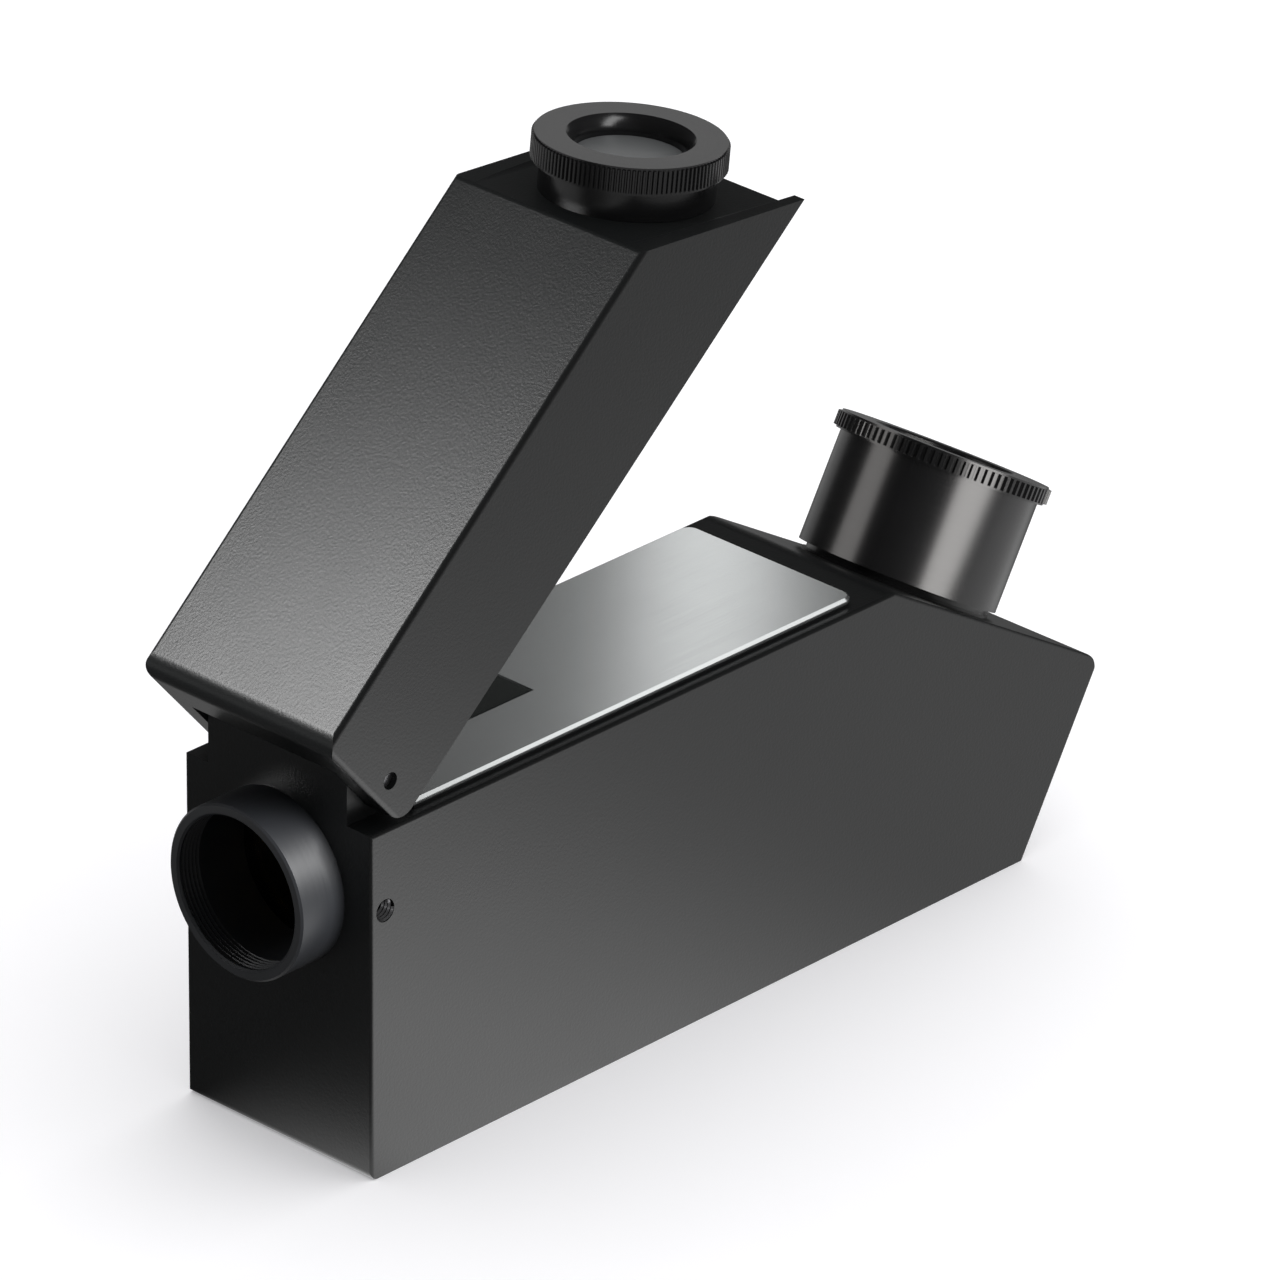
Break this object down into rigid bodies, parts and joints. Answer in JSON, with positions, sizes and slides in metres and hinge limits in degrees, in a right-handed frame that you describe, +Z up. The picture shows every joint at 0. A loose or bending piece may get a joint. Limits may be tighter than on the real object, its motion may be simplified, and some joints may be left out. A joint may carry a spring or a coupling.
{
  "type": "gem refractometer",
  "caption": "Bench gem refractometer: wedge body with a prism stage, hinged hollow lid with a parked polarising filter, threaded light inlet and focusing eyepiece.",
  "frame": {"origin": "centre of the bottom face, on the surface that the instrument stands on", "axes": "+X from the light inlet to the eyepiece, +Y across the body, +Z up"},
  "size_m": [0.1566, 0.036, 0.1309],
  "materials": {
    "black_paint": "satin black powder coat",
    "black_anodised": "glossy black anodising",
    "plate_metal": "satin",
    "screw_steel": "satin",
    "prism_glass": "polished",
    "clear_glass": "polished",
    "yellow_glass": "polished",
    "mirror_glass": "silvered",
    "polarising_film": "dark film"
  },
  "bodies": {
    "base": {"housing": "black_paint", "bottom_cover": "black_paint", "cover_screws": "screw_steel", "stage_plate": "plate_metal", "prism": "prism_glass", "prism_saddle": "black_anodised", "saddle_screws": "screw_steel", "lens_board": "black_anodised", "scale_lens": "clear_glass", "lens_ring": "black_anodised", "reticle_board": "black_anodised", "scale_reticle": "clear_glass", "reticle_ring": "black_anodised", "mirror": "mirror_glass", "mirror_wedge": "black_anodised", "light_inlet_tube": "black_anodised", "inlet_filter": "yellow_glass", "inlet_ring": "black_anodised", "inlet_set_screw": "screw_steel", "eyepiece_neck": "black_anodised", "field_lens": "clear_glass", "field_lens_ring": "black_anodised"},
    "lid": {"lid_shell": "black_paint", "hinge_pin": "screw_steel", "filter_socket": "black_anodised"},
    "filter_sleeve": {"filter_sleeve": "black_anodised"},
    "filter_ring": {"filter_ring": "black_anodised", "polarising_film": "polarising_film", "film_clamp_ring": "black_anodised"},
    "eye_lens_carrier": {"eye_lens_cell": "black_anodised", "eye_lens": "clear_glass", "eye_lens_ring": "black_anodised"},
    "focus_barrel": {"focus_barrel": "black_anodised", "focus_ring": "black_anodised"}
  },
  "joints": [
    {"name": "lid_hinge", "type": "hinge", "parent": "base", "child": "lid", "pos_m": [-0.0629, 0, 0.0604], "axis": [0, -1, 0], "range_deg": [-40.7, 59.3]},
    {"name": "filter_lift", "type": "slide", "parent": "lid", "child": "filter_sleeve", "axis": [0.1097, 0, 0.994], "range_m": [0, 0.01]},
    {"name": "filter_turn", "type": "hinge", "parent": "filter_sleeve", "child": "filter_ring", "pos_m": [0.00105, 0, 0.12124], "axis": [0.1097, 0, 0.994], "continuous": true},
    {"name": "focus_travel", "type": "slide", "parent": "base", "child": "eye_lens_carrier", "axis": [0.5075, 0, 0.8616], "range_m": [-0.0005, 0.0015]},
    {"name": "focus_turn", "type": "hinge", "parent": "eye_lens_carrier", "child": "focus_barrel", "pos_m": [0.05745, 0, 0.04163], "axis": [0.5075, 0, 0.8616], "range_deg": [-120, 360]}
  ],
  "couplings": [
    {"joint": "focus_travel", "follows": "focus_turn", "m_per_rad": 0.00023873}
  ]
}
